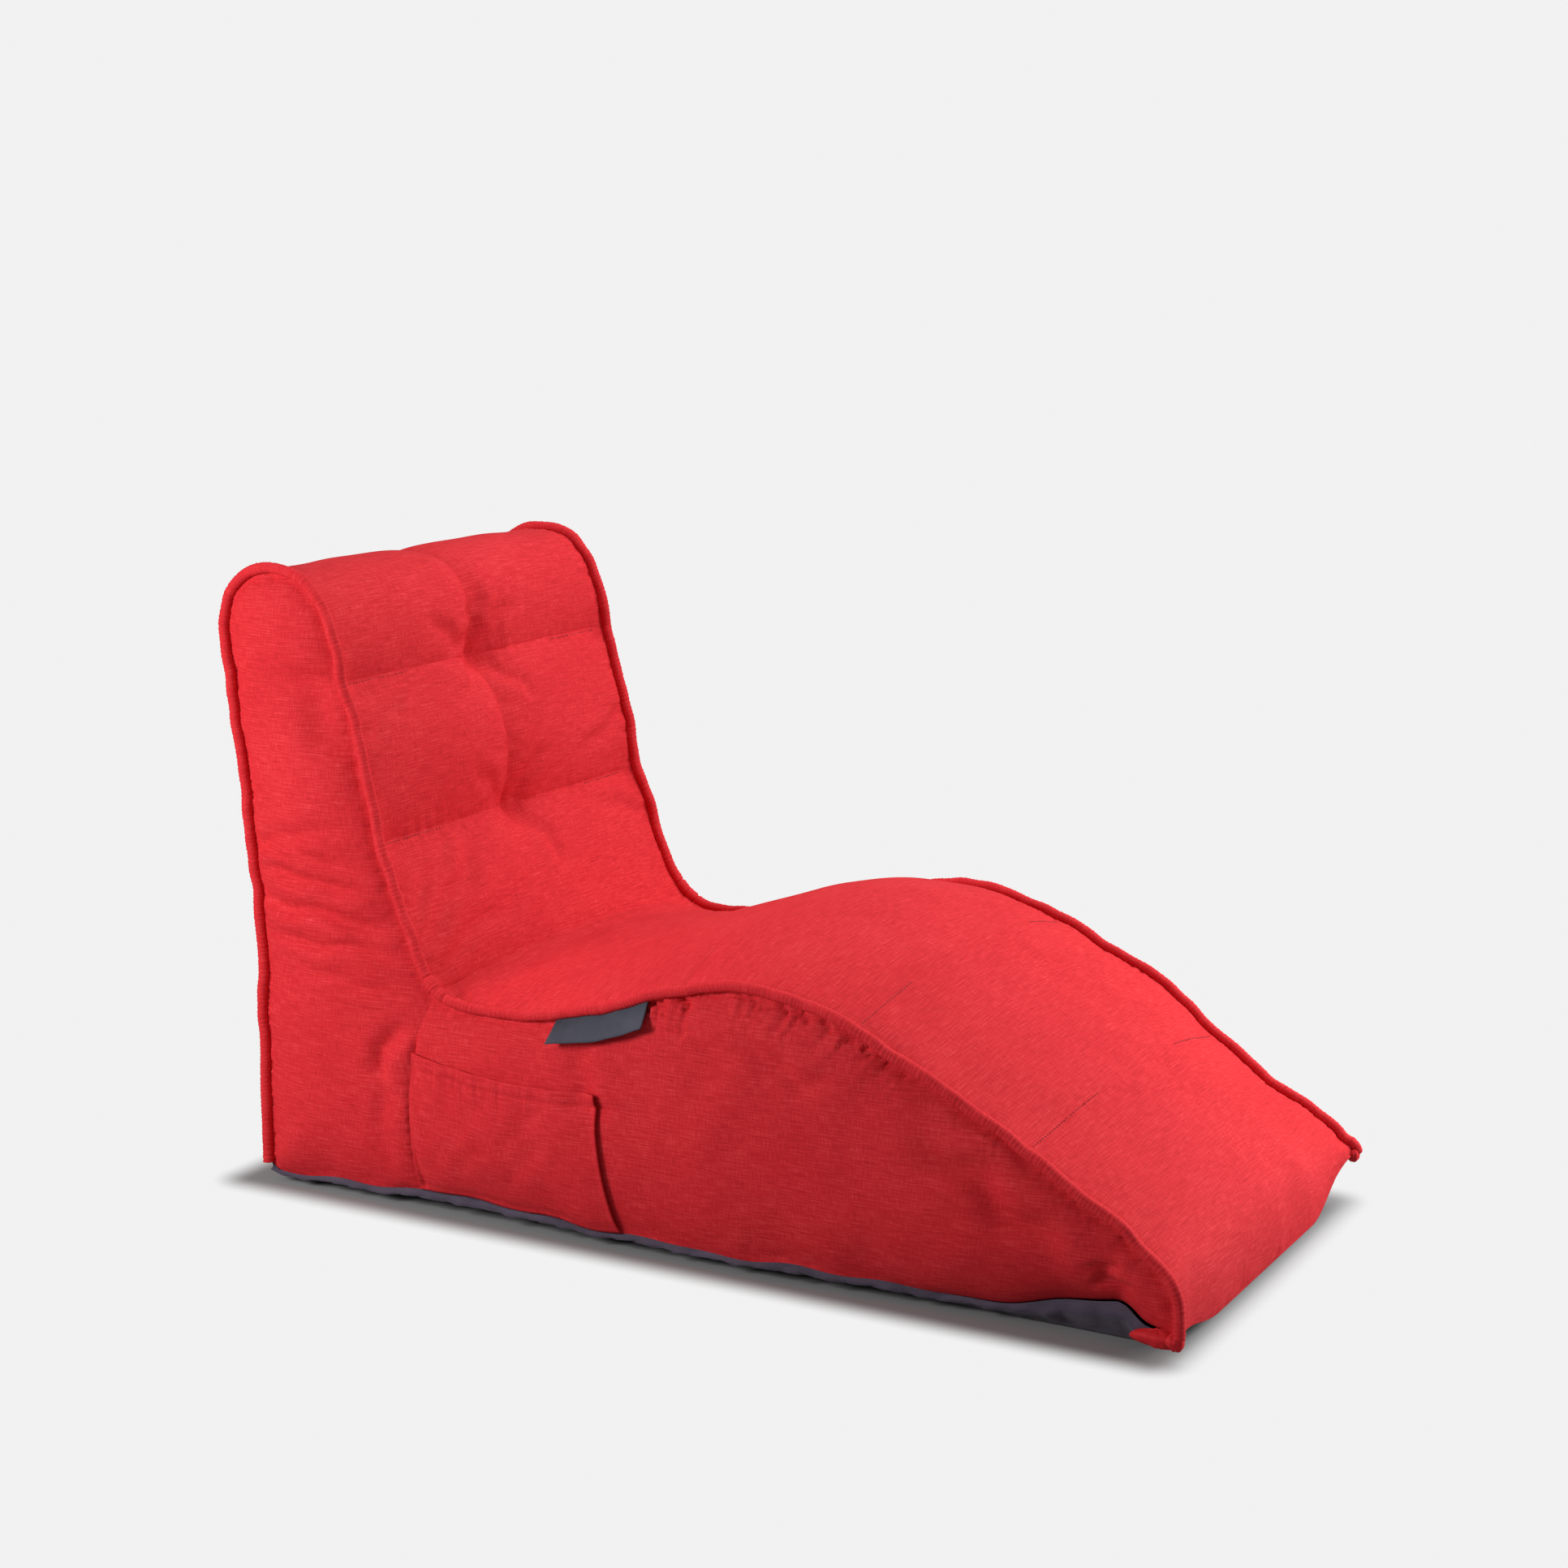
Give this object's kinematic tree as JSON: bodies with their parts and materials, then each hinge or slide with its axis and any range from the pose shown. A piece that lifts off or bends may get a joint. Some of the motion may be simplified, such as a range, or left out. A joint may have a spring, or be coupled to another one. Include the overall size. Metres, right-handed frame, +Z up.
{
  "type": "bean bag lounger",
  "caption": "Low fabric lounger filled with beads: piped sides, quilted raised backrest, hollowed seat, sloping leg rest, side pocket and rear zip.",
  "frame": {"origin": "on the floor, under the middle of the chair's length and width", "axes": "+Z up; +X across the seat, towards the sitter's left; the sitter faces -Y, so the backrest is at +Y and the foot end at -Y"},
  "size_m": [0.7541, 1.5316, 0.9372],
  "materials": {
    "cover_fabric": "slub weave, matt",
    "base_fabric": "smooth coated weave, matt",
    "label_fabric": "woven tape, matt",
    "piping_core": "twisted cotton",
    "wadding": "soft fibre",
    "liner_fabric": "plain weave",
    "bead_filling": "expanded beads",
    "zip_tape": "woven tape",
    "zip_coil": "moulded coil",
    "zip_metal": "satin"
  },
  "bodies": {
    "chair": {"backrest_top_panel": "cover_fabric", "backrest_middle_panel": "cover_fabric", "backrest_lower_panel": "cover_fabric", "seat_panel": "cover_fabric", "thigh_panel": "cover_fabric", "calf_panel": "cover_fabric", "foot_panel": "cover_fabric", "rear_panel": "cover_fabric", "rear_lower_strip": "cover_fabric", "base_panel": "base_fabric", "side_back_right": "cover_fabric", "side_seat_right": "cover_fabric", "side_back_left": "cover_fabric", "side_seat_left": "cover_fabric", "piping_back_right": "cover_fabric", "piping_seat_right": "cover_fabric", "piping_back_left": "cover_fabric", "piping_seat_left": "cover_fabric", "cord_back_right": "piping_core", "cord_seat_right": "piping_core", "cord_back_left": "piping_core", "cord_seat_left": "piping_core", "pocket_panel": "cover_fabric", "label_tab": "label_fabric", "zip_upper_tape": "zip_tape", "zip_lower_tape": "zip_tape", "zip_coil": "zip_coil", "zip_end_tabs": "cover_fabric", "backrest_wadding": "wadding", "seat_wadding": "wadding", "baffle_panel": "liner_fabric", "backrest_liner": "liner_fabric", "seat_liner": "liner_fabric", "backrest_beads": "bead_filling", "seat_beads": "bead_filling"},
    "slider": {"zip_slider": "zip_metal"},
    "pull": {"zip_pull": "zip_metal"}
  },
  "joints": [
    {"name": "zip_slide", "type": "slide", "parent": "chair", "child": "slider", "axis": [1, 0, 0], "range_m": [-0.5, 0]},
    {"name": "pull_swing", "type": "hinge", "parent": "slider", "child": "pull", "pos_m": [0.25, 0.69738, 0.095], "axis": [1, 0, 0], "range_deg": [0, 150]}
  ]
}
